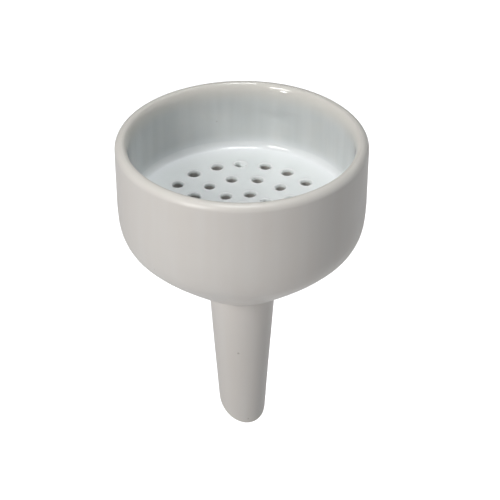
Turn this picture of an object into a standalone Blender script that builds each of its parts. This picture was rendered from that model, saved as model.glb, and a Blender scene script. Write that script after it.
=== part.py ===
"""Fixed-plate Buchner funnel of glazed porcelain, 80 mm across and 110 mm tall.

Three formed pieces (bowl, perforated plate, stem) and the rings of slip that lute them together.
+Z is up, the funnel's axis is the Z axis, and Z = 0 is the level of the stem's lowest point.
Every outline is given as (radius, height), with heights counted down from the rim as negative depths.
"""

import math
import random

import bpy

MM = 0.001

# Overall size
RIM_RADIUS = 40.0 * MM
TOTAL_HEIGHT = 110.0 * MM
LUTING_GAP = 0.3 * MM

# Bowl: rim and cylindrical wall
RIM_OUTER_ROUND = 2.2 * MM
RIM_LAND_WIDTH = 0.5 * MM
RIM_INNER_ROUND_WIDTH = 1.5 * MM
RIM_INNER_ROUND_DROP = 3.6 * MM
SEAT_RADIUS = 35.8 * MM
STRAIGHT_WALL_DEPTH = 20.0 * MM

# Bowl: belly, a chain of tangent arcs (radius, turn in degrees, steps) that turns from the wall to the outlet
BELLY_ARCS = (
    (70.0 * MM, 6.0, 2),
    (15.5 * MM, 18.5, 3),
    (12.5 * MM, 17.0, 3),
    (65.0 * MM, 6.5, 2),
    (240.0 * MM, 3.7, 2),
    (48.0 * MM, 9.2, 3),
)

# Bowl: ledge under the plate, collecting cone and outlet
LEDGE_DEPTH = 29.9 * MM
LEDGE_INNER_RADIUS = 32.2 * MM
CONE_TOP_DEPTH = 33.3 * MM
CONE_FOOT_DEPTH = 52.2 * MM
CONE_ARC_RADIUS = 145.0 * MM
OUTLET_RADIUS = 8.3 * MM

# Perforated plate
PLATE_TOP_DEPTH = 23.8 * MM
PLATE_THICKNESS = 5.0 * MM
PLATE_EDGE_CHAMFER = 1.2 * MM
HOLE_RADIUS = 1.6 * MM
HOLE_MOUTH_ROUND = 0.35 * MM
# The hole rings: (ring radius, holes, first hole's bearing from +Y in degrees, shift towards -Y).
# The holes are punched by hand in the soft clay, so each one wanders a little from its ring.
HOLE_RINGS = (
    (0.0, 1, 0.0, 1.5 * MM),
    (7.6 * MM, 6, 19.7, 1.5 * MM),
    (16.1 * MM, 12, -11.6, 1.5 * MM),
    (24.0 * MM, 18, -1.4, 0.0),
)
HOLE_WANDER = 0.45 * MM
HOLE_WANDER_SEED = 3335

# Stem
STEM_TOP_RADIUS = 11.0 * MM
STEM_TAPER = 0.065
STEM_WALL_TOP = 2.8 * MM
STEM_WALL_TIP = 2.5 * MM
TIP_CUT_DEGREES = 35.0
TIP_BEARING_DEGREES = -60.0
TIP_EDGE_ROUND = 0.7 * MM
TIP_ROUND_LOSS = 0.183 * MM

# Slip joints
SLIP_THICKNESS = 0.6 * MM
BEDDING_INNER_RADIUS = 32.5 * MM
COLLAR_WIDTH = 0.8 * MM
COLLAR_HEIGHT = 2.0 * MM
COLLAR_LIP = 0.1 * MM
FILLET_ROUND = 1.3 * MM
FILLET_EDGE = 0.1 * MM

# Smoothness of the turned pieces
BOWL_STEPS = 64
STEM_STEPS = 48
HOLE_STEPS = 12

MERGE = 0.00001
SMOOTH_BELOW = math.radians(35.0)


# ---------------------------------------------------------------- scene helpers

def clear_scene():
    for obj in list(bpy.data.objects):
        bpy.data.objects.remove(obj)


def new_collection(name):
    collection = bpy.data.collections.new(name)
    bpy.context.scene.collection.children.link(collection)
    return collection


def glaze_material(name, colour, roughness):
    material = bpy.data.materials.new(name)
    material.use_nodes = True
    shader = material.node_tree.nodes["Principled BSDF"]
    shader.inputs["Base Color"].default_value = (*colour, 1.0)
    shader.inputs["Roughness"].default_value = roughness
    shader.inputs["Metallic"].default_value = 0.0
    return material


# ---------------------------------------------------------------- outline helpers

def arc(centre, radius_x, radius_z, start_degrees, end_degrees, steps):
    """Points of an elliptic arc around centre, both ends included; 0 degrees points outwards, 90 up."""
    points = []
    for i in range(steps + 1):
        angle = math.radians(start_degrees + (end_degrees - start_degrees) * i / steps)
        points.append((centre[0] + radius_x * math.cos(angle), centre[1] + radius_z * math.sin(angle)))
    return points


def tangent_chain(start, arcs):
    """Points after start of arcs that follow each other without a kink, starting straight down."""
    points = []
    x, z = start
    heading = 0.0
    for radius, turn, steps in arcs:
        for _ in range(steps):
            following = heading + math.radians(turn / steps)
            x -= radius * (math.cos(heading) - math.cos(following))
            z -= radius * (math.sin(following) - math.sin(heading))
            heading = following
            points.append((x, z))
    return points


def bulged_arc(start, end, radius, steps):
    """Points from start to end, both included, along an arc that bulges away from the axis and down."""
    chord = math.dist(start, end)
    middle = ((start[0] + end[0]) / 2, (start[1] + end[1]) / 2)
    along = ((end[0] - start[0]) / chord, (end[1] - start[1]) / chord)
    outward = (along[1], -along[0]) if start[1] < end[1] else (-along[1], along[0])
    reach = math.sqrt(radius ** 2 - (chord / 2) ** 2)
    centre = (middle[0] - outward[0] * reach, middle[1] - outward[1] * reach)
    first = math.atan2(start[1] - centre[1], start[0] - centre[0])
    last = math.atan2(end[1] - centre[1], end[0] - centre[0])
    return arc(centre, radius, radius, math.degrees(first), math.degrees(last), steps)


def belly_outline():
    wall_foot = (RIM_RADIUS, -STRAIGHT_WALL_DEPTH)
    return [wall_foot] + tangent_chain(wall_foot, BELLY_ARCS)


OUTLET_DEPTH = -belly_outline()[-1][1]
STEM_TOP_DEPTH = OUTLET_DEPTH + LUTING_GAP + SLIP_THICKNESS + LUTING_GAP


def stem_radius(depth):
    return STEM_TOP_RADIUS - STEM_TAPER * (depth - STEM_TOP_DEPTH)


# ---------------------------------------------------------------- modelling helpers

def turned(name, outline, steps, collection, material):
    """Turns a closed outline around Z. Its heights are depths below the rim, as negative numbers."""
    mesh = bpy.data.meshes.new(name)
    points = [(radius, 0.0, TOTAL_HEIGHT + height) for radius, height in outline]
    edges = [(i, (i + 1) % len(points)) for i in range(len(points))]
    mesh.from_pydata(points, edges, [])
    obj = bpy.data.objects.new(name, mesh)
    collection.objects.link(obj)
    screw = obj.modifiers.new("turn", "SCREW")
    screw.axis = "Z"
    screw.angle = math.tau
    screw.steps = steps
    screw.render_steps = steps
    screw.use_merge_vertices = True
    screw.merge_threshold = MERGE
    screw.use_smooth_shade = True
    if material is not None:
        mesh.materials.append(material)
    return obj


def as_mesh(obj):
    """Replaces an object's mesh with what its modifiers make of it."""
    graph = bpy.context.evaluated_depsgraph_get()
    made = bpy.data.meshes.new_from_object(obj.evaluated_get(graph))
    obj.modifiers.clear()
    obj.data = made
    return obj


def shade(obj):
    obj.data.shade_smooth()
    obj.data.set_sharp_from_angle(angle=SMOOTH_BELOW)


def hide_cutter(obj):
    obj.hide_render = True
    obj.display_type = "WIRE"


def cut(obj, name, cutter):
    """Takes an object, or every object of a collection, out of obj."""
    boolean = obj.modifiers.new(name, "BOOLEAN")
    boolean.operation = "DIFFERENCE"
    boolean.solver = "EXACT"
    if isinstance(cutter, bpy.types.Collection):
        boolean.operand_type = "COLLECTION"
        boolean.collection = cutter
    else:
        boolean.object = cutter


# ---------------------------------------------------------------- the pieces

def bowl_shell(parts, material):
    rim_centre = (RIM_RADIUS - RIM_OUTER_ROUND, -RIM_OUTER_ROUND)
    rim_outer = arc(rim_centre, RIM_OUTER_ROUND, RIM_OUTER_ROUND, 90.0, 0.0, 5)
    belly = belly_outline()
    outlet = [(OUTLET_RADIUS, -OUTLET_DEPTH)]
    cone = bulged_arc((OUTLET_RADIUS, -CONE_FOOT_DEPTH), (LEDGE_INNER_RADIUS, -CONE_TOP_DEPTH), CONE_ARC_RADIUS, 5)
    ledge = [(LEDGE_INNER_RADIUS, -LEDGE_DEPTH), (SEAT_RADIUS, -LEDGE_DEPTH)]
    land_inner = RIM_RADIUS - RIM_OUTER_ROUND - RIM_LAND_WIDTH
    rim_inner = arc(
        (land_inner, -RIM_INNER_ROUND_DROP), -RIM_INNER_ROUND_WIDTH, RIM_INNER_ROUND_DROP, 0.0, 90.0, 4
    )
    seat_top = [(SEAT_RADIUS, -PLATE_TOP_DEPTH)]
    outline = rim_outer + belly + outlet + cone + ledge + seat_top + rim_inner
    bowl = as_mesh(turned("bowl_shell", outline, BOWL_STEPS, parts, material))
    shade(bowl)


def hole_places():
    """Centres of the plate's holes, ring by ring."""
    hand = random.Random(HOLE_WANDER_SEED)
    places = []
    for ring_radius, count, bearing, shift in HOLE_RINGS:
        for i in range(count):
            angle = math.radians(bearing + 360.0 * i / count)
            x = ring_radius * math.sin(angle) + hand.uniform(-HOLE_WANDER, HOLE_WANDER)
            y = ring_radius * math.cos(angle) - shift + hand.uniform(-HOLE_WANDER, HOLE_WANDER)
            places.append((x, y))
    return places


def hole_cutters(cutters):
    """One cutter for each hole: a straight pin with a small flare at the plate's top face."""
    top = -PLATE_TOP_DEPTH
    bottom = top - PLATE_THICKNESS
    mouth_radius = HOLE_RADIUS + HOLE_MOUTH_ROUND
    spare = 1.0 * MM
    outline = [
        (0.0, top + spare),
        (mouth_radius, top + spare),
        (mouth_radius, top),
        (HOLE_RADIUS, top - HOLE_MOUTH_ROUND),
        (HOLE_RADIUS, bottom - spare),
        (0.0, bottom - spare),
    ]
    pin = as_mesh(turned("hole_pin", outline, HOLE_STEPS, cutters, None))
    for i, (x, y) in enumerate(hole_places()):
        copy = bpy.data.objects.new(f"hole_pin_{i:02d}", pin.data)
        copy.location = (x, y, 0.0)
        cutters.objects.link(copy)
        hide_cutter(copy)
    bpy.data.objects.remove(pin)


def perforated_plate(parts, pins, material):
    edge = SEAT_RADIUS - LUTING_GAP
    top = -PLATE_TOP_DEPTH
    bottom = top - PLATE_THICKNESS
    outline = [
        (0.0, top),
        (edge - PLATE_EDGE_CHAMFER, top),
        (edge, top - PLATE_EDGE_CHAMFER),
        (edge, bottom),
        (0.0, bottom),
    ]
    plate = as_mesh(turned("perforated_plate", outline, BOWL_STEPS, parts, material))
    plate.data.shade_flat()
    cut(plate, "punched_holes", pins)


def stem(parts, cutters, material):
    """A tapered tube, turned so that its lowest point lies on the cut's bearing, then cut at a slant."""
    tip_radius = stem_radius(TOTAL_HEIGHT)
    spare = 4.0 * MM
    foot = TOTAL_HEIGHT + spare
    outline = [
        (STEM_TOP_RADIUS, -STEM_TOP_DEPTH),
        (stem_radius(foot), -foot),
        (stem_radius(foot) - STEM_WALL_TIP, -foot),
        (STEM_TOP_RADIUS - STEM_WALL_TOP, -STEM_TOP_DEPTH),
    ]
    tube = as_mesh(turned("stem", outline, STEM_STEPS, parts, material))
    shade(tube)
    tube.rotation_euler = (0.0, 0.0, math.radians(TIP_BEARING_DEGREES))

    block_size = 60.0 * MM
    cut_angle = math.radians(TIP_CUT_DEGREES)
    bpy.ops.mesh.primitive_cube_add(size=block_size)
    block = bpy.context.object
    block.name = "tip_cutter"
    for collection in block.users_collection:
        collection.objects.unlink(block)
    cutters.objects.link(block)
    hide_cutter(block)
    block.rotation_euler = (0.0, cut_angle, math.radians(TIP_BEARING_DEGREES))
    low_point = (
        tip_radius * math.cos(math.radians(TIP_BEARING_DEGREES)),
        tip_radius * math.sin(math.radians(TIP_BEARING_DEGREES)),
        -TIP_ROUND_LOSS,
    )
    bpy.context.view_layer.update()
    down = block.matrix_world.to_3x3().col[2] * (-block_size / 2)
    block.location = [low_point[i] + down[i] for i in range(3)]
    cut(tube, "slanted_tip", block)

    bevel = tube.modifiers.new("fired_edges", "BEVEL")
    bevel.width = TIP_EDGE_ROUND
    bevel.segments = 2
    bevel.limit_method = "ANGLE"
    bevel.angle_limit = math.radians(40.0)


def plate_luting_fillet(parts, material):
    """Slip pressed into the corner over the plate's chamfer, wiped to a hollow round."""
    outer = SEAT_RADIUS - LUTING_GAP
    plate_top = -PLATE_TOP_DEPTH
    diagonal_gap = LUTING_GAP * math.sqrt(2.0)
    hollow_centre = (
        outer - FILLET_EDGE - FILLET_ROUND,
        plate_top + FILLET_EDGE + FILLET_ROUND,
    )
    outline = [
        (outer, hollow_centre[1]),
        (outer, plate_top - PLATE_EDGE_CHAMFER + diagonal_gap),
        (outer - PLATE_EDGE_CHAMFER + diagonal_gap, plate_top),
    ]
    outline += arc(hollow_centre, FILLET_ROUND, FILLET_ROUND, -75.0, 0.0, 4)
    ring = as_mesh(turned("plate_luting_fillet", outline, BOWL_STEPS, parts, material))
    shade(ring)


def plate_bedding_ring(parts, material):
    """The slip between the plate's underside and the ledge, with a small bead squeezed out inside."""
    outer = SEAT_RADIUS - LUTING_GAP
    top = -PLATE_TOP_DEPTH - PLATE_THICKNESS - LUTING_GAP
    bottom = -LEDGE_DEPTH + LUTING_GAP
    bead = (top - bottom) / 2
    outline = [(outer, top), (outer, bottom)]
    outline += arc((BEDDING_INNER_RADIUS + bead, top - bead), -bead, bead, -90.0, 90.0, 2)
    ring = as_mesh(turned("plate_bedding_ring", outline, BOWL_STEPS, parts, material))
    shade(ring)


def stem_luting(parts, material):
    """The slip layer between outlet and stem, with a hollow collar squeezed out around the stem."""
    layer_top = -OUTLET_DEPTH - LUTING_GAP
    layer_bottom = layer_top - SLIP_THICKNESS
    sleeve_radius = STEM_TOP_RADIUS + LUTING_GAP
    collar_centre = (sleeve_radius + COLLAR_LIP + COLLAR_WIDTH, layer_top - COLLAR_HEIGHT)
    collar = arc(collar_centre, -COLLAR_WIDTH, COLLAR_HEIGHT, 80.0, 0.0, 4)
    outline = collar + [
        (sleeve_radius, layer_top - COLLAR_HEIGHT),
        (sleeve_radius, layer_bottom),
        (OUTLET_RADIUS, layer_bottom),
        (OUTLET_RADIUS, layer_top),
    ]
    ring = as_mesh(turned("stem_luting", outline, STEM_STEPS, parts, material))
    shade(ring)


def main():
    clear_scene()
    parts = new_collection("buchner_funnel")
    cutters = new_collection("cutters")
    pins = new_collection("hole_pins")

    outside = glaze_material("bowl_glaze", (0.66, 0.65, 0.63), 0.22)
    inside = glaze_material("plate_glaze", (0.78, 0.80, 0.81), 0.14)
    spout = glaze_material("stem_glaze", (0.66, 0.65, 0.63), 0.24)
    slip = glaze_material("slip_glaze", (0.74, 0.76, 0.77), 0.12)

    hole_cutters(pins)
    bowl_shell(parts, outside)
    perforated_plate(parts, pins, inside)
    stem(parts, cutters, spout)
    plate_luting_fillet(parts, slip)
    plate_bedding_ring(parts, slip)
    stem_luting(parts, slip)


main()
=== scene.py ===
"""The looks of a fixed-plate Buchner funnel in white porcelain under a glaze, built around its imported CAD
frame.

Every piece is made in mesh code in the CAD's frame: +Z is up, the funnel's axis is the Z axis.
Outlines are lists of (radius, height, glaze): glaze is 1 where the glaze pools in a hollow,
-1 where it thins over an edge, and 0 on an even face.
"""

import math
import random

import bpy
from mathutils import Euler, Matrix, Vector, geometry, noise


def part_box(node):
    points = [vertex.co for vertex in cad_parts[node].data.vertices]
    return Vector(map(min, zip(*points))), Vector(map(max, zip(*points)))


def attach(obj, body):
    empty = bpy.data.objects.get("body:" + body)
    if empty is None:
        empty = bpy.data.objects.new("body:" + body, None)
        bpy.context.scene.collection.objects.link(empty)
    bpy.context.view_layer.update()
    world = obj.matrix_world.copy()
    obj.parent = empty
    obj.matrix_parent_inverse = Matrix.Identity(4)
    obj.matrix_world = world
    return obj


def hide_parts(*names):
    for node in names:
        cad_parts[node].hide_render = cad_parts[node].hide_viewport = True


MM = 0.001

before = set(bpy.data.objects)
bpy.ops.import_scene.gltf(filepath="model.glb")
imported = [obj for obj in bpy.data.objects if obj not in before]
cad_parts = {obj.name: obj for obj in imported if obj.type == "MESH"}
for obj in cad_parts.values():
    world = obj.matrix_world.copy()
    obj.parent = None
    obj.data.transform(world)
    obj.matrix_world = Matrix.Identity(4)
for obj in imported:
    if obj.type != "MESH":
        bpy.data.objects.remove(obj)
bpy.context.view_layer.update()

# ---------------------------------------------------------------- places, from the CAD frame

BOWL_LOW, BOWL_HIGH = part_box("bowl_shell")
PLATE_LOW, PLATE_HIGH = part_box("perforated_plate")
STEM_LOW, STEM_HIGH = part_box("stem")

RIM_RADIUS = BOWL_HIGH.x
RIM_Z = BOWL_HIGH.z
OUTLET_Z = BOWL_LOW.z
PLATE_TOP = PLATE_HIGH.z
PLATE_BOTTOM = PLATE_LOW.z
STEM_TOP_Z = STEM_HIGH.z
TIP_Z = STEM_LOW.z

# ---------------------------------------------------------------- sizes of the CAD design

SEAT_RADIUS = 35.8 * MM
RIM_OUTER_ROUND = 2.2 * MM
RIM_LAND_WIDTH = 0.5 * MM
RIM_INNER_ROUND_WIDTH = 1.5 * MM
RIM_INNER_ROUND_DROP = 3.6 * MM
STRAIGHT_WALL_DEPTH = 20.0 * MM
# (radius, degrees of turn, steps) of each arc. The last one runs on under the collar, past the CAD's end
BELLY_ARCS = (
    (70.0 * MM, 6.0, 6),
    (15.5 * MM, 18.5, 8),
    (12.5 * MM, 17.0, 8),
    (65.0 * MM, 6.5, 6),
    (240.0 * MM, 3.7, 10),
    (48.0 * MM, 11.8, 8),
)
LEDGE_DEPTH = 29.9 * MM
LEDGE_INNER_RADIUS = 32.2 * MM
CONE_TOP_DEPTH = 33.3 * MM
CONE_FOOT_DEPTH = 52.2 * MM
OUTLET_RADIUS = 8.3 * MM

HOLE_RADIUS = 1.6 * MM
# (radius of the ring, number of holes, degrees from +Y to its first hole, shift towards -Y)
HOLE_RINGS = (
    (0.0, 1, 0.0, 1.5 * MM),
    (7.6 * MM, 6, 19.7, 1.5 * MM),
    (16.1 * MM, 12, -11.6, 1.5 * MM),
    (24.0 * MM, 18, -1.4, 0.0),
)
# Found by a search for the smallest miss on the 14 holes that the photograph shows well enough to measure
HOLE_WANDER = 0.45 * MM
HOLE_WANDER_SEED = 3335

STEM_TOP_RADIUS = 11.0 * MM
STEM_TAPER = 0.065
STEM_WALL_TOP = 2.8 * MM
STEM_WALL_TIP = 2.5 * MM
TIP_CUT_DEGREES = 35.0
TIP_BEARING_DEGREES = -60.0

# ---------------------------------------------------------------- what the glaze and the hand add to it

FILLET_WIDTH = 1.8 * MM
FILLET_HEIGHT = 2.6 * MM
POOL_HEIGHT = 6.0 * MM
THIN_DEPTH = 8.0 * MM

LIP_WIDTH = 0.6 * MM
LIP_DEPTH = 0.9 * MM
BURR_HEIGHT = 0.20 * MM
BURR_WIDTH = 0.60 * MM
HOLE_SHAPE_SEED = 12
HOLE_SIZES = (1.0, 1.16)
HOLE_LEAN = 0.10
HOLE_OVAL = 0.07
EDGE_POOL_WIDTH = 8.0 * MM
MOUTH_THINNING = 0.6

# One hole of the outermost ring is half closed by a run of glaze on its wall
CLOGGED_HOLE = 19
CLOG_REACH = 1.5 * MM
CLOG_DEPTH = 1.3 * MM
CLOG_SPREAD = 0.8 * MM
CLOG_BEARING = math.radians(35.0)

COLLAR_HEIGHT = 2.1 * MM
COLLAR_TOP_FLARE = 0.75 * MM
COLLAR_LIP = 0.22 * MM
COLLAR_FOOT_RISE = 0.1 * MM
COLLAR_WANDER = 0.45 * MM
COLLAR_WANDER_SCALE = 1.7
COLLAR_WANDER_OFFSET = Vector((2.0, 5.0, 1.0))
COLLAR_DROP_POWER = 1.6
COLLAR_FLARE_POWER = 2.4

TIP_OUTER_ROUND = 0.75 * MM
TIP_INNER_ROUND = 0.45 * MM
TIP_OUTER_GLAZE = -0.6
TIP_INNER_GLAZE = -0.4
# The cut lies this much lower than the CAD's, because the rounding takes off its lowest corner
TIP_DROP = 0.30 * MM

# How far neighbouring pieces reach into each other, so that no gap shows
STEM_SUNK = 0.3 * MM
FILLET_SUNK = 0.12 * MM
FILLET_OVERLAP = 0.02 * MM
PLATE_OVERLAP = 0.05 * MM
COLLAR_FOOT_SUNK = 0.4 * MM
COLLAR_TOP_SUNK = 0.3 * MM
COLLAR_OUTLET_SUNK = 0.1 * MM

TURN_STEPS = 256
PLATE_EDGE_STEPS = 192
STEM_STEPS = 160
COLLAR_STEPS = 192

# ---------------------------------------------------------------- outline helpers


def arc(centre, radius_x, radius_z, start_degrees, end_degrees, steps, glaze=(0.0, 0.0)):
    """Points of an elliptic arc, both ends included; 0 degrees points outwards and 90 up."""
    points = []
    for i in range(steps + 1):
        share = i / steps
        angle = math.radians(start_degrees + (end_degrees - start_degrees) * share)
        level = glaze[0] + (glaze[1] - glaze[0]) * share
        x = centre[0] + radius_x * math.cos(angle)
        z = centre[1] + radius_z * math.sin(angle)
        points.append((x, z, level))
    return points


def line(start, end, steps, glaze=(0.0, 0.0)):
    """Points from start to end, both included."""
    points = []
    for i in range(steps + 1):
        share = i / steps
        x = start[0] + (end[0] - start[0]) * share
        z = start[1] + (end[1] - start[1]) * share
        points.append((x, z, glaze[0] + (glaze[1] - glaze[0]) * share))
    return points


def tangent_chain(start, arcs):
    """Points of arcs that follow each other without a kink, straight down at first. Start is left out."""
    points = []
    x, z = start
    heading = 0.0
    for radius, turn, steps in arcs:
        for _ in range(steps):
            following = heading + math.radians(turn / steps)
            x -= radius * (math.cos(heading) - math.cos(following))
            z -= radius * (math.sin(following) - math.sin(heading))
            heading = following
            points.append((x, z, 0.0))
    return points


# ---------------------------------------------------------------- mesh helpers

WARP_SIZE = 0.028
WARP_HEIGHT = 0.10 * MM
RIPPLE_SIZE = 0.007
RIPPLE_HEIGHT = 0.012 * MM
RIPPLE_OFFSET = Vector((7.0, 3.0, 5.0))
SMOOTH_BELOW = math.radians(50.0)


def hand_made(point):
    """How far the fired surface stands off its design at a point: a slow warp and a faint ripple."""
    warp = noise.noise(point / WARP_SIZE)
    ripple = noise.noise(point / RIPPLE_SIZE + RIPPLE_OFFSET)
    return WARP_HEIGHT * warp + RIPPLE_HEIGHT * ripple


def piece_from(name, vertices, faces, glaze, inside, material, replaced):
    """Makes one closed, smooth piece of the funnel, warps it a little along its normals, links it under the
    root body and hides the CAD part it replaces.
    """
    mesh = bpy.data.meshes.new(name)
    mesh.from_pydata(vertices, [], faces)
    mesh.validate()
    mesh.update()
    moved = [v.co + v.normal * hand_made(v.co) for v in mesh.vertices]
    for vertex, place in zip(mesh.vertices, moved):
        vertex.co = place
    mesh.update()
    for attribute, values in (("glaze", glaze), ("inside", inside)):
        mesh.attributes.new(attribute, "FLOAT", "POINT").data.foreach_set("value", values)
    mesh.shade_smooth()
    mesh.set_sharp_from_angle(angle=SMOOTH_BELOW)
    mesh.materials.append(material)
    piece = bpy.data.objects.new(name, mesh)
    bpy.context.scene.collection.objects.link(piece)
    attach(piece, "root")
    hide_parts(replaced)


def turned(outlines):
    """Vertices, faces and glaze levels of closed outlines, one for each step around Z from +X.
    Each runs down the outer side and back up the inner one, and all have as many points."""
    steps = len(outlines)
    vertices = []
    glaze = []
    for i, outline in enumerate(outlines):
        angle = math.tau * i / steps
        for radius, height, level in outline:
            vertices.append((radius * math.cos(angle), radius * math.sin(angle), height))
            glaze.append(level)
    return vertices, turned_faces(len(outlines[0]), steps), glaze


def turned_faces(rows, steps):
    """Faces between closed outlines that stand around Z, with rows points each."""
    faces = []
    for i in range(steps):
        here = i * rows
        beside = ((i + 1) % steps) * rows
        for j in range(rows):
            k = (j + 1) % rows
            faces.append((here + j, here + k, beside + k, beside + j))
    return faces


def band(upper, lower):
    """Faces between two rings of vertices with as many points each."""
    count = len(upper)
    faces = []
    for i in range(count):
        k = (i + 1) % count
        faces.append((upper[i], upper[k], lower[k], lower[i]))
    return faces


# ---------------------------------------------------------------- materials

WARM_DRIFT = (0.985, 0.965, 0.955)
COOL_DRIFT = (0.955, 0.975, 0.97)
PINHOLE_RADIUS = 0.55 * MM
STEM_PINHOLE = (-1.3 * MM, -9.5 * MM, 32.7 * MM)
GLAZE_IOR = 1.52

# Scales of the noises, in features per metre
CLOUD_SCALE = 24.0
FINE_CLOUD_SCALE = 130.0
RUN_SCALE = 230.0
SMEAR_SCALE = 75.0
PEEL_SCALE = 520.0
SPECK_SCALE = 130.0
SPECK_MASK_SCALE = 90.0

RUN_STRETCH = (1.0, 1.0, 0.08)
FINE_CLOUD_SHARE = 0.22
RUN_SHARE = 0.12
SMEAR_LEAST = 0.85
SMEAR_MOST = 1.2
SPECK_COLOUR = (0.25, 0.21, 0.17)
SPECK_SHARE = 0.4

PEEL_DEPTH = 0.12 * MM
RUN_DEPTH = 0.20 * MM
PIT_DEPTH = 0.03 * MM
RUN_PEEL = 0.8
PIT_STRENGTH = 0.2


class Nodes:
    """A short way to write a node tree. add makes any node and feed fills a socket, with a link or a
    value. Each of the others adds one node and returns the output to read."""

    def __init__(self, tree):
        self.tree = tree

    def add(self, kind, **settings):
        node = self.tree.nodes.new(kind)
        for key, value in settings.items():
            setattr(node, key, value)
        return node

    def feed(self, socket, value):
        if isinstance(value, bpy.types.NodeSocket):
            self.tree.links.new(value, socket)
        else:
            socket.default_value = value

    def place(self):
        return self.add("ShaderNodeTexCoord").outputs["Object"]

    def stretched(self, vector, scale):
        node = self.add("ShaderNodeVectorMath", operation="MULTIPLY")
        self.feed(node.inputs[0], vector)
        node.inputs[1].default_value = scale
        return node.outputs[0]

    def noise(self, vector, scale, detail=2.0):
        node = self.add("ShaderNodeTexNoise")
        self.feed(node.inputs["Vector"], vector)
        node.inputs["Scale"].default_value = scale
        node.inputs["Detail"].default_value = detail
        return node.outputs["Fac"]

    def cells(self, vector, scale):
        node = self.add("ShaderNodeTexVoronoi", feature="F1")
        self.feed(node.inputs["Vector"], vector)
        node.inputs["Scale"].default_value = scale
        return node.outputs["Distance"]

    def level(self, name):
        return self.add("ShaderNodeAttribute", attribute_name=name).outputs["Fac"]

    def distance(self, vector, spot):
        node = self.add("ShaderNodeVectorMath", operation="DISTANCE")
        self.feed(node.inputs[0], vector)
        node.inputs[1].default_value = spot
        return node.outputs["Value"]

    def math(self, operation, first, second=0.0):
        node = self.add("ShaderNodeMath", operation=operation)
        self.feed(node.inputs[0], first)
        self.feed(node.inputs[1], second)
        return node.outputs[0]

    def ramp(self, value, low, high, to_low=0.0, to_high=1.0):
        """Maps low..high of a value to to_low..to_high, smoothly and clamped."""
        node = self.add("ShaderNodeMapRange", interpolation_type="SMOOTHSTEP")
        self.feed(node.inputs["Value"], value)
        node.inputs["From Min"].default_value = low
        node.inputs["From Max"].default_value = high
        node.inputs["To Min"].default_value = to_low
        node.inputs["To Max"].default_value = to_high
        return node.outputs["Result"]

    def mix(self, factor, first, second, kind="RGBA"):
        """Blends two colours, or two numbers if kind is FLOAT."""
        node = self.add("ShaderNodeMix", data_type=kind)
        self.feed(node.inputs["Factor"], factor)
        for name, value in (("A", first), ("B", second)):
            self.feed(node.inputs[name], (*value, 1.0) if isinstance(value, tuple) else value)
        return node.outputs["Result"]

    def bump(self, height, strength, distance, onto=None):
        node = self.add("ShaderNodeBump")
        node.inputs["Strength"].default_value = strength
        node.inputs["Distance"].default_value = distance
        self.feed(node.inputs["Height"], height)
        if onto is not None:
            self.feed(node.inputs["Normal"], onto)
        return node.outputs["Normal"]


def drifted(colour, drift):
    """A colour as it looks where the glaze has drifted a little from it."""
    return tuple(c * d for c, d in zip(colour, drift))


def new_material(name):
    """A new material, its shader, and a short way to write its node tree."""
    material = bpy.data.materials.new(name)
    material.use_nodes = True
    return material, material.node_tree.nodes["Principled BSDF"], Nodes(material.node_tree)


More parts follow.
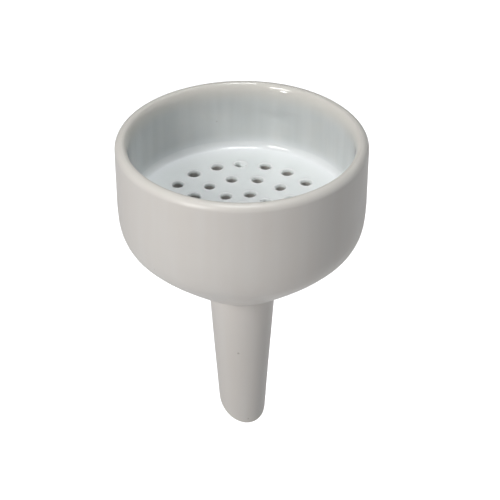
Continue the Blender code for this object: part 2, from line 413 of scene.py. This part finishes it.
def porcelain(name, outer, inner, pooled_and_lit, thin, rough_outer, rough_inner, peel, pinhole=None):
    """Glazed porcelain. The point attribute "inside" is 1 where inner holds: where the glaze went in by
    pouring or ran together, which leaves it cooler and glossier. Inner is darker on the bowl's walls as
    painted shade and lighter on the plate's face as painted light. It is 0 where outer holds: on the dipped
    outside, on the collar, where it is a painted shade under the bowl, and down the holes and under the
    plate, where it is a painted shade too. The colour of hollows where the glaze gathers is partly glaze and
    partly painted light at the foot of the wall, with a painted highlight along the fillet. thin colours the
    edges, peel is how strong the orange peel is, and pinhole is the place of a single blemish."""
    material, shader, n = new_material(name)
    place = n.place()
    glaze = n.level("glaze")
    inside = n.level("inside")
    pool_and_light_mask = n.ramp(glaze, 0.0, 1.0)
    on_edge = n.ramp(glaze, 0.0, -1.0)

    cloud = n.noise(place, CLOUD_SCALE)
    fine_cloud = n.noise(place, FINE_CLOUD_SCALE)
    runs = n.noise(n.stretched(place, RUN_STRETCH), RUN_SCALE)

    even = n.mix(inside, outer, inner)
    tint = n.mix(inside, drifted(outer, WARM_DRIFT), drifted(inner, COOL_DRIFT))
    colour = n.mix(n.ramp(cloud, 0.25, 0.75), tint, even)
    colour = n.mix(n.ramp(fine_cloud, 0.3, 0.9, to_high=FINE_CLOUD_SHARE), colour, thin)
    # Runs show twice as much where "inside" is 1
    run_share = n.math(
        "MULTIPLY", n.ramp(runs, 0.3, 0.8, to_high=RUN_SHARE), n.math("ADD", inside, 1.0)
    )
    colour = n.mix(run_share, colour, pooled_and_lit)
    # Hollows turn to the colour of gathered glaze, lighter partly as painted light, with a painted highlight
    # along the fillet
    colour = n.mix(pool_and_light_mask, colour, pooled_and_lit)
    colour = n.mix(on_edge, colour, thin)

    # A few small dark specks, kept apart by a slow mask
    dots = n.cells(place, SPECK_SCALE)
    where = n.ramp(n.noise(place, SPECK_MASK_SCALE, detail=0.0), 0.66, 0.70)
    speck = n.math("MULTIPLY", n.ramp(dots, 0.05, 0.02), where)
    if pinhole is not None:
        spot = n.ramp(n.distance(place, pinhole), PINHOLE_RADIUS, 0.3 * PINHOLE_RADIUS)
        speck = n.math("MAXIMUM", speck, spot)
    colour = n.mix(n.math("MULTIPLY", speck, SPECK_SHARE), colour, SPECK_COLOUR)
    n.feed(shader.inputs["Base Color"], colour)

    smear = n.noise(place, SMEAR_SCALE, detail=3.0)
    rough_out = n.ramp(smear, 0.2, 0.8, rough_outer * SMEAR_LEAST, rough_outer * SMEAR_MOST)
    rough_in = n.ramp(smear, 0.2, 0.8, rough_inner * SMEAR_LEAST, rough_inner * SMEAR_MOST)
    n.feed(shader.inputs["Roughness"], n.mix(inside, rough_out, rough_in, kind="FLOAT"))

    orange_peel = n.noise(place, PEEL_SCALE, detail=1.0)
    pits = n.ramp(dots, 0.0, 0.04)
    normal = n.bump(orange_peel, peel, PEEL_DEPTH)
    normal = n.bump(runs, peel * RUN_PEEL, RUN_DEPTH, normal)
    normal = n.bump(pits, PIT_STRENGTH, PIT_DEPTH, normal)
    n.feed(shader.inputs["Normal"], normal)

    shader.inputs["IOR"].default_value = GLAZE_IOR
    return material


def stage_material():
    """A seamless white sweep, lit from behind as on a light table."""
    material, shader, n = new_material("pale_floor")
    tone = n.ramp(n.noise(n.place(), SWEEP_TONE_SCALE), 0.3, 0.7)
    n.feed(shader.inputs["Base Color"], n.mix(tone, SWEEP_DARKER, SWEEP_PALER))
    shader.inputs["Roughness"].default_value = 0.9
    shader.inputs["Specular IOR Level"].default_value = 0.0
    shader.inputs["Emission Color"].default_value = (1.0, 1.0, 1.0, 1.0)
    shader.inputs["Emission Strength"].default_value = SWEEP_GLOW
    return material


# ---------------------------------------------------------------- the pieces


def wall_glaze(z):
    """The glaze level on the inner wall at a height: it pools at the plate, where the colour it gives is
    partly painted light, and runs thin under the rim.
    """
    pooled_and_lit = max(0.0, 1.0 - (z - PLATE_TOP) / POOL_HEIGHT)
    thinned = max(0.0, 1.0 - (RIM_Z - z) / THIN_DEPTH)
    return pooled_and_lit - thinned


def bowl_piece(material):
    """The filter chamber with its rim, shoulder, bottom and outlet, and the ledge under the plate."""
    rim_outer = arc(
        (RIM_RADIUS - RIM_OUTER_ROUND, RIM_Z - RIM_OUTER_ROUND),
        RIM_OUTER_ROUND, RIM_OUTER_ROUND, 90.0, 0.0, steps=10, glaze=(-1.0, -0.1),
    )
    wall_foot = (RIM_RADIUS, RIM_Z - STRAIGHT_WALL_DEPTH)
    outer_wall = line((RIM_RADIUS, RIM_Z - RIM_OUTER_ROUND), wall_foot, steps=10)[1:]
    belly = tangent_chain(wall_foot, BELLY_ARCS)
    cone_foot = (OUTLET_RADIUS, RIM_Z - CONE_FOOT_DEPTH)
    outlet = line((OUTLET_RADIUS, belly[-1][1]), cone_foot, steps=2)
    cone = line(cone_foot, (LEDGE_INNER_RADIUS, RIM_Z - CONE_TOP_DEPTH), steps=12)[1:]
    ledge = [
        (LEDGE_INNER_RADIUS, RIM_Z - LEDGE_DEPTH, 0.0),
        (SEAT_RADIUS, RIM_Z - LEDGE_DEPTH, 0.0),
    ]
    land_inner = RIM_RADIUS - RIM_OUTER_ROUND - RIM_LAND_WIDTH
    rim_inner = arc(
        (land_inner, RIM_Z - RIM_INNER_ROUND_DROP),
        -RIM_INNER_ROUND_WIDTH, RIM_INNER_ROUND_DROP, 0.0, 90.0, steps=10,
    )
    rim_inner = [(x, z, wall_glaze(z)) for x, z, _ in rim_inner]
    seat = (SEAT_RADIUS, PLATE_TOP)
    wall_top = (land_inner - RIM_INNER_ROUND_WIDTH, RIM_Z - RIM_INNER_ROUND_DROP)
    inner_wall = [(x, z, wall_glaze(z)) for x, z, _ in line(seat, wall_top, steps=20)][:-1]
    outline = rim_outer + outer_wall + belly + outlet + cone + ledge + inner_wall + rim_inner
    vertices, faces, glaze = turned([outline] * TURN_STEPS)
    outer_rows = len(rim_outer + outer_wall + belly)
    inside = ([0.0] * outer_rows + [1.0] * (len(outline) - outer_rows)) * TURN_STEPS
    piece_from("porcelain_bowl", vertices, faces, glaze, inside, material, "bowl_shell")


def hole_places():
    """Centres of the plate's punched holes, as in the CAD design."""
    hand = random.Random(HOLE_WANDER_SEED)
    places = []
    for ring_radius, count, bearing, shift in HOLE_RINGS:
        for i in range(count):
            angle = math.radians(bearing + 360.0 * i / count)
            x = ring_radius * math.sin(angle) + hand.uniform(-HOLE_WANDER, HOLE_WANDER)
            y = ring_radius * math.cos(angle) - shift + hand.uniform(-HOLE_WANDER, HOLE_WANDER)
            places.append(Vector((x, y)))
    return places


PLATE_EDGE = SEAT_RADIUS + PLATE_OVERLAP
HOLE_STEPS = 36
LIP_STEPS = 6
# (distance outside the mouth, steps) of the rings of points around each hole
MOUTH_RINGS = (
    (0.22 * MM, HOLE_STEPS),
    (0.48 * MM, HOLE_STEPS),
    (0.85 * MM, HOLE_STEPS // 2),
)
FACE_PITCH = 1.3 * MM
FACE_EDGE_MARGIN = 0.6 * FACE_PITCH
# What delaunay_2d_cdt takes for filling the whole hull with triangles, and the distance it merges at
WHOLE_HULL = 0
MERGE = 1e-9


class Hole:
    """A punched hole, a little out of round and a little larger or smaller than the next one."""

    def __init__(self, centre, hand):
        self.centre = centre
        self.size = hand.uniform(*HOLE_SIZES)
        self.lean = hand.uniform(0.0, HOLE_LEAN)
        self.lean_way = hand.uniform(0.0, math.tau)
        self.oval = hand.uniform(0.0, HOLE_OVAL)
        self.oval_way = hand.uniform(0.0, math.tau)
        self.clog = 0.0

    def loop(self, outside, steps=HOLE_STEPS, depth=0.0):
        """Points around the hole, a given distance outside its straight wall, at a depth below its mouth."""
        clog = self.clog * math.exp(-(((depth - CLOG_DEPTH) / CLOG_SPREAD) ** 2))
        points = []
        for i in range(steps):
            angle = math.tau * i / steps
            lean = self.lean * math.cos(angle - self.lean_way)
            oval = self.oval * math.cos(2 * (angle - self.oval_way))
            reach = HOLE_RADIUS * self.size * (1.0 + (lean + oval)) + outside
            reach -= clog * max(0.0, math.cos(angle - CLOG_BEARING)) ** 2
            points.append(self.centre + Vector((reach * math.cos(angle), reach * math.sin(angle))))
        return points

    def clearance(self, spot):
        """Distance of a spot from the hole's straight wall, taken as round, and negative inside it."""
        return (spot - self.centre).length - HOLE_RADIUS * self.size


def circle(radius, steps):
    """Flat points of a circle around the axis."""
    points = []
    for i in range(steps):
        angle = math.tau * i / steps
        points.append(Vector((radius * math.cos(angle), radius * math.sin(angle))))
    return points


def plate_face_layout(holes):
    """Points, triangles and edge loops of the plate's face around its holes. The first loop is the
    plate's outer edge, and the others are the holes' mouths, in order."""
    points = circle(PLATE_EDGE, PLATE_EDGE_STEPS)
    loops = [list(range(PLATE_EDGE_STEPS))]
    for hole in holes:
        first = len(points)
        points += hole.loop(LIP_WIDTH)
        loops.append(list(range(first, first + HOLE_STEPS)))
    for hole in holes:
        for outside, steps in MOUTH_RINGS:
            points += hole.loop(LIP_WIDTH + outside, steps)
    # Between the holes the points stand in rows, as in a honeycomb
    count = int(PLATE_EDGE / FACE_PITCH) + 2
    for row in range(-count, count + 1):
        for column in range(-count, count + 1):
            x = FACE_PITCH * (column + 0.5 * (row % 2))
            spot = Vector((x, FACE_PITCH * row * math.sqrt(0.75)))
            clear_of_edge = spot.length < PLATE_EDGE - FACE_EDGE_MARGIN
            clear_of_holes = all(hole.clearance(spot) > LIP_WIDTH + FACE_PITCH for hole in holes)
            if clear_of_edge and clear_of_holes:
                points.append(spot)
    edges = []
    for loop in loops:
        edges += [(loop[i], loop[(i + 1) % len(loop)]) for i in range(len(loop))]
    flat, _, triangles, _, _, _ = geometry.delaunay_2d_cdt(points, edges, [], WHOLE_HULL, MERGE)
    assert len(flat) == len(points), "two points of the plate's face lie on each other"
    mouths = [set(loop) for loop in loops[1:]]
    kept = [tuple(t) for t in triangles if not any(mouth.issuperset(t) for mouth in mouths)]
    return flat, kept, loops


def plate_piece(material):
    """The plate: the same face layout above and below, joined by its edge and by each hole's wall."""
    hand = random.Random(HOLE_SHAPE_SEED)
    holes = [Hole(place, hand) for place in hole_places()]
    holes[CLOGGED_HOLE].clog = CLOG_REACH
    flat, triangles, loops = plate_face_layout(holes)
    count = len(flat)
    top_heights = []
    glaze = []
    for p in flat:
        from_mouth = max(0.0, min(hole.clearance(p) for hole in holes) - LIP_WIDTH)
        burr = math.exp(-((from_mouth / BURR_WIDTH) ** 2))
        top_heights.append(PLATE_TOP + BURR_HEIGHT * burr)
        # Towards its edge the plate turns lighter, partly as painted light beside the fillet
        corner = max(0.0, 1.0 - (PLATE_EDGE - p.length) / EDGE_POOL_WIDTH)
        glaze.append(corner - MOUTH_THINNING * burr)
    vertices = [(p.x, p.y, z) for p, z in zip(flat, top_heights)]
    vertices += [(p.x, p.y, PLATE_BOTTOM) for p in flat]
    glaze += [0.0] * count
    # The underside takes the outer colour, a painted shade under the plate
    inside = [1.0] * count + [0.0] * count
    faces = []
    for a, b, c in triangles:
        upward = (flat[b] - flat[a]).cross(flat[c] - flat[a]) > 0
        top = (a, b, c) if upward else (a, c, b)
        faces.append(top)
        faces.append(tuple(count + i for i in reversed(top)))
    outer = loops[0]
    for i in range(len(outer)):
        a, b = outer[i], outer[(i + 1) % len(outer)]
        faces.append((a, count + a, count + b, b))
    mouth_top = PLATE_TOP + BURR_HEIGHT
    lip_foot = PLATE_TOP - LIP_DEPTH
    lower_lip = PLATE_BOTTOM + LIP_WIDTH
    wall = arc(
        (LIP_WIDTH, lip_foot), -LIP_WIDTH, mouth_top - lip_foot, 90.0, 0.0,
        steps=LIP_STEPS + 2, glaze=(-MOUTH_THINNING, 0.0),
    )
    wall += line((0.0, lip_foot), (0.0, lower_lip), steps=9)[1:]
    wall += arc((LIP_WIDTH, lower_lip), -LIP_WIDTH, LIP_WIDTH, 0.0, -90.0, steps=LIP_STEPS)[1:]
    for hole, loop in zip(holes, loops[1:]):
        ring = list(loop)
        for outside, height, level in wall[1:-1]:
            start = len(vertices)
            # Below the lip the hole walls take the outer colour too, a painted shade down the holes; the
            # clogged hole keeps the face colour
            clear_of_shade = height > lip_foot or hole.clog > 0.0
            for p in hole.loop(outside, depth=mouth_top - height):
                vertices.append((p.x, p.y, height))
                glaze.append(level)
                inside.append(1.0 if clear_of_shade else 0.0)
            below = list(range(start, start + HOLE_STEPS))
            faces += band(ring, below)
            ring = below
        faces += band(ring, [count + i for i in loop])
    piece_from(
        "porcelain_plate", vertices, faces, glaze, inside, material, "perforated_plate"
    )


def rounded_corner(before, corner, after, radius, steps, glaze):
    """Points of the arc that rounds a corner of an outline."""
    to_before = (before - corner).normalized()
    to_after = (after - corner).normalized()
    half = to_before.angle(to_after) / 2
    reach = radius / math.tan(half)
    centre = corner + (to_before + to_after).normalized() * (radius / math.sin(half))
    start = corner + to_before * reach - centre
    end = corner + to_after * reach - centre
    points = []
    total = start.angle(end)
    for i in range(steps + 1):
        share = i / steps
        spoke = start * math.sin((1 - share) * total) + end * math.sin(share * total)
        spot = centre + spoke / math.sin(total)
        points.append((spot.x, spot.y, glaze))
    return points


def stem_radius(z):
    """Radius of the stem's outside at a height."""
    return STEM_TOP_RADIUS - STEM_TAPER * (STEM_TOP_Z - z)


def bore_radius(z):
    """Radius of the stem's bore at a height."""
    share = (STEM_TOP_Z - z) / (STEM_TOP_Z - TIP_Z)
    wall = STEM_WALL_TOP + (STEM_WALL_TIP - STEM_WALL_TOP) * share
    return stem_radius(z) - wall


# Enough repeats for a wall that tapers to settle on the cut
CUT_REPEATS = 20


def on_cut(radius_at, side, low_z, slope):
    """Radius and height at which a wall meets the slanted cut; side is 1 at the low side and -1 opposite."""
    z = low_z
    for _ in range(CUT_REPEATS):
        z = low_z + (stem_radius(TIP_Z) - side * radius_at(z)) * slope
    return Vector((radius_at(z), z))


def stem_outline(bearing):
    """The two halves of the stem's outline at a bearing: its outer side and its inner one."""
    slope = math.tan(math.radians(TIP_CUT_DEGREES))
    top_z = STEM_TOP_Z + STEM_SUNK
    outer_top = Vector((stem_radius(top_z), top_z))
    inner_top = Vector((bore_radius(top_z), top_z))
    side = math.cos(bearing - math.radians(TIP_BEARING_DEGREES))
    outer_corner = on_cut(stem_radius, side, TIP_Z - TIP_DROP, slope)
    inner_corner = on_cut(bore_radius, side, TIP_Z - TIP_DROP, slope)
    outer_round = rounded_corner(outer_top, outer_corner, inner_corner, TIP_OUTER_ROUND, 7, TIP_OUTER_GLAZE)
    inner_round = rounded_corner(outer_corner, inner_corner, inner_top, TIP_INNER_ROUND, 5, TIP_INNER_GLAZE)
    outer = line(outer_top, outer_round[0], steps=26)[:-1] + outer_round
    inner = inner_round + line(inner_round[-1], inner_top, steps=14)[1:]
    return outer, inner


def stem_piece(material):
    """A tapered tube whose slanted tip is worked out for each bearing, with its two edges rounded."""
    sides = [stem_outline(math.tau * i / STEM_STEPS) for i in range(STEM_STEPS)]
    vertices, faces, glaze = turned([outer + inner for outer, inner in sides])
    outer, inner = sides[0]
    inside = ([0.0] * len(outer) + [1.0] * len(inner)) * STEM_STEPS
    piece_from("porcelain_stem", vertices, faces, glaze, inside, material, "stem")


def fillet_piece(material):
    """The slip wiped into the corner between plate and wall, rounded further by the glaze."""
    wall_radius = SEAT_RADIUS + FILLET_OVERLAP
    centre = (wall_radius - FILLET_WIDTH, PLATE_TOP + FILLET_HEIGHT)
    outline = [
        (wall_radius + FILLET_SUNK, centre[1] + FILLET_SUNK, wall_glaze(centre[1])),
        (wall_radius + FILLET_SUNK, PLATE_TOP - FILLET_SUNK, 1.0),
        (centre[0] - FILLET_SUNK, PLATE_TOP - FILLET_SUNK, 1.0),
    ]
    # The fillet's colour of gathered glaze is partly a painted highlight along it
    hollow = arc(centre, FILLET_WIDTH, FILLET_HEIGHT, -90.0, 0.0, steps=14)
    outline += [(x, z, wall_glaze(z)) for x, z, _ in hollow]
    vertices, faces, glaze = turned([outline] * TURN_STEPS)
    inside = [1.0] * len(vertices)
    piece_from(
        "porcelain_fillet", vertices, faces, glaze, inside, material, "plate_luting_fillet"
    )


def collar_outline(bearing, top):
    """Outline of the collar at a bearing: its hollow outer side, which starts at the belly's point top,
    and then what is hidden where the stem meets the bowl."""
    way = Vector((math.cos(bearing), math.sin(bearing), 0.0))
    wander = COLLAR_WANDER * noise.noise(way * COLLAR_WANDER_SCALE + COLLAR_WANDER_OFFSET)
    foot = OUTLET_Z - COLLAR_HEIGHT + wander
    outline = []
    hollow_steps = 12
    for k in range(hollow_steps + 1):
        left = 1.0 - k / hollow_steps
        z = top[1] + (foot + COLLAR_LIP - top[1]) * (1.0 - left ** COLLAR_DROP_POWER)
        flare = (top[0] - STEM_TOP_RADIUS - COLLAR_LIP) * left ** COLLAR_FLARE_POWER
        outline.append((stem_radius(z) + COLLAR_LIP + flare, z, 0.0))
    lip_centre = (stem_radius(foot), foot + COLLAR_LIP)
    outline += arc(lip_centre, COLLAR_LIP, COLLAR_LIP, 0.0, -90.0, steps=4)[1:]
    outline += [
        (stem_radius(foot) - COLLAR_FOOT_SUNK, foot + COLLAR_FOOT_RISE, 0.0),
        (OUTLET_RADIUS, STEM_TOP_Z, 0.0),
        (OUTLET_RADIUS, OUTLET_Z + COLLAR_OUTLET_SUNK, 0.0),
        (top[0], top[1] + COLLAR_TOP_SUNK, 0.0),
    ]
    return outline


def collar_piece(material):
    """The slip squeezed out around where the stem meets the bowl: hollow above, with a lower edge that
    wanders.
    """
    belly = tangent_chain((RIM_RADIUS, RIM_Z - STRAIGHT_WALL_DEPTH), BELLY_ARCS)
    top = min(belly, key=lambda p: abs(p[0] - (STEM_TOP_RADIUS + COLLAR_TOP_FLARE)))
    outlines = [collar_outline(math.tau * i / COLLAR_STEPS, top) for i in range(COLLAR_STEPS)]
    vertices, faces, glaze = turned(outlines)
    # The whole collar takes the outer colour, darker as painted shade under the bowl
    inside = [0.0] * len(vertices)
    piece_from("porcelain_collar", vertices, faces, glaze, inside, material, "stem_luting")


# ---------------------------------------------------------------- stage, light and camera


SWEEP_GLOW = 1.0
SWEEP_TONE_SCALE = 1.2
SWEEP_DARKER = (0.93, 0.93, 0.93)
SWEEP_PALER = (0.96, 0.96, 0.96)
FLOOR_DROP = 0.12
FLOOR_CENTRE = 0.02 * MM
FLOOR_RADIUS = 1.6
SWEEP_ROUND = 0.8
SWEEP_HEIGHT = 3.0
SWEEP_STEPS = 96

LIGHT_TARGET = Vector((0.0, 0.0, RIM_Z * 0.7))
WARM_LIGHT = (1.0, 0.985, 0.965)
COOL_LIGHT = (0.96, 0.985, 1.0)
# Heights of a direction, from -1 straight down to 1 straight up, between which the surroundings change
HORIZON_FADE = (-0.5, 0.2)
FLOOR_SHADE = (-1.0, -0.7)


def stage():
    """A round floor that curves up into a wall on every side, so that no view has a horizon."""
    bend = (FLOOR_RADIUS, SWEEP_ROUND - FLOOR_DROP)
    outline = [(FLOOR_CENTRE, -FLOOR_DROP, 0.0)]
    outline += arc(bend, SWEEP_ROUND, SWEEP_ROUND, -90.0, 0.0, steps=16)
    outline.append((FLOOR_RADIUS + SWEEP_ROUND, SWEEP_HEIGHT, 0.0))
    rows = len(outline)
    vertices = []
    for i in range(SWEEP_STEPS):
        angle = math.tau * i / SWEEP_STEPS
        vertices += [(radius * math.cos(angle), radius * math.sin(angle), z) for radius, z, _ in outline]
    faces = [tuple(i * rows for i in range(SWEEP_STEPS))]
    for i in range(SWEEP_STEPS):
        here = i * rows
        beside = ((i + 1) % SWEEP_STEPS) * rows
        for j in range(rows - 1):
            faces.append((here + j, beside + j, beside + j + 1, here + j + 1))
    mesh = bpy.data.meshes.new("floor")
    mesh.from_pydata(vertices, [], faces)
    mesh.shade_smooth()
    mesh.materials.append(stage_material())
    floor = bpy.data.objects.new("floor", mesh)
    bpy.context.scene.collection.objects.link(floor)
    # It shows to the camera only: the surroundings light the funnel in its place
    floor.visible_diffuse = False
    floor.visible_glossy = False
    floor.visible_shadow = False


def soft_light(name, bearing, elevation, distance, size, power, colour):
    """A square soft box that looks at the bowl. Bearing 0 is the camera's side and positive turns to +X."""
    light = bpy.data.lights.new(name, "AREA")
    light.size = size
    light.energy = power
    light.color = colour
    lamp = bpy.data.objects.new(name, light)
    turn = math.radians(bearing)
    rise = math.radians(elevation)
    way = Vector((math.sin(turn) * math.cos(rise), -math.cos(turn) * math.cos(rise), math.sin(rise)))
    lamp.location = LIGHT_TARGET + way * distance
    lamp.rotation_mode = "QUATERNION"
    lamp.rotation_quaternion = way.to_track_quat("Z", "Y")
    bpy.context.scene.collection.objects.link(lamp)


def surroundings(above, below, under):
    """Even light from every side, with a strength of its own above and below the horizon.
    Straight down it falls to a share of itself, as over a shaded floor."""
    world = bpy.data.worlds.new("studio")
    world.use_nodes = True
    background = world.node_tree.nodes["Background"]
    n = Nodes(world.node_tree)
    split = n.add("ShaderNodeSeparateXYZ")
    n.feed(split.inputs[0], n.add("ShaderNodeTexCoord").outputs["Generated"])
    height = split.outputs["Z"]
    blend = n.ramp(height, *HORIZON_FADE, below, above)
    shade = n.ramp(height, *FLOOR_SHADE, under, 1.0)
    background.inputs["Color"].default_value = (1.0, 1.0, 1.0, 1.0)
    n.feed(background.inputs["Strength"], n.math("MULTIPLY", blend, shade))
    bpy.context.scene.world = world


def lights():
    surroundings(above=0.0, below=0.62, under=0.7)
    # name, bearing and elevation in degrees, distance and size in metres, power in watts
    soft_light("key", -40.0, 30.0, 0.6, 0.196, 1.42, WARM_LIGHT)
    soft_light("low_key", -42.0, 8.0, 0.6, 0.065, 0.39, WARM_LIGHT)
    soft_light("overhead", 0.0, 86.0, 1.1, 0.3, 5.4, COOL_LIGHT)
    soft_light("back_fill", 170.0, 60.0, 1.1, 0.6, 0.9, COOL_LIGHT)
    soft_light("right_fill", 90.0, 8.0, 1.1, 0.6, 0.8, COOL_LIGHT)


def camera():
    """Looks down at the funnel from the front, at the photograph's angle."""
    pitch = math.radians(34.03)
    distance = 0.5618
    aim = Vector((0.0026, 0.0, 0.0680))
    data = bpy.data.cameras.new("camera")
    data.lens = 123.5
    data.sensor_width = 36.0
    data.clip_start = 0.01
    data.clip_end = 20.0
    cam = bpy.data.objects.new("camera", data)
    cam.location = aim + distance * Vector((0.0, -math.cos(pitch), math.sin(pitch)))
    cam.rotation_euler = Euler((math.pi / 2 - pitch, 0.0, 0.0))
    bpy.context.scene.collection.objects.link(cam)
    bpy.context.scene.camera = cam


def main():
    dipped = (0.79, 0.765, 0.735)
    # Inner colour: the glaze's own cool tint, darkened as painted shade on the inner walls
    poured_and_shaded = (0.70, 0.72, 0.72)
    # The plate's face colour: lighter than the inner walls as painted light on the plate
    plate_face_and_light = (0.92, 0.94, 0.935)
    # Colour where the glaze gathers, partly painted light at the foot of the inner wall
    pooled_and_lit = (0.90, 0.925, 0.94)
    # Lighter still: partly a painted highlight along the fillet and the plate's edge
    deep_pool_and_highlight = (0.96, 0.98, 0.985)
    thin = (0.825, 0.795, 0.74)
    plate_thin = (0.95, 0.95, 0.94)
    # Darker colour of the hole walls and the plate's underside: painted shade in the holes and under the
    # plate
    hole_and_underside_shade = (0.60, 0.585, 0.56)
    # Darker colour of the collar: painted shade under the bowl
    collar_shade = (0.62, 0.60, 0.575)
    # The numbers are rough_outer, rough_inner and peel
    bowl_glaze = porcelain("bowl_glaze", dipped, poured_and_shaded, pooled_and_lit, thin, 0.34, 0.085, 0.10)
    plate_glaze = porcelain("plate_glaze", hole_and_underside_shade, plate_face_and_light, deep_pool_and_highlight, plate_thin, 0.5, 0.12, 0.12)
    stem_glaze = porcelain("stem_glaze", dipped, poured_and_shaded, pooled_and_lit, thin, 0.32, 0.16, 0.14, STEM_PINHOLE)
    slip_glaze = porcelain("slip_glaze", collar_shade, poured_and_shaded, deep_pool_and_highlight, thin, 0.32, 0.08, 0.08)

    camera()
    bowl_piece(bowl_glaze)
    plate_piece(plate_glaze)
    stem_piece(stem_glaze)
    fillet_piece(slip_glaze)
    collar_piece(slip_glaze)
    # The ring that the plate is bedded on is hidden, so it stays the CAD's own with a better material
    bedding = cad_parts["plate_bedding_ring"]
    bedding.data.materials.clear()
    bedding.data.materials.append(slip_glaze)
    stage()
    lights()
    bpy.context.scene.view_settings.view_transform = "Standard"


main()
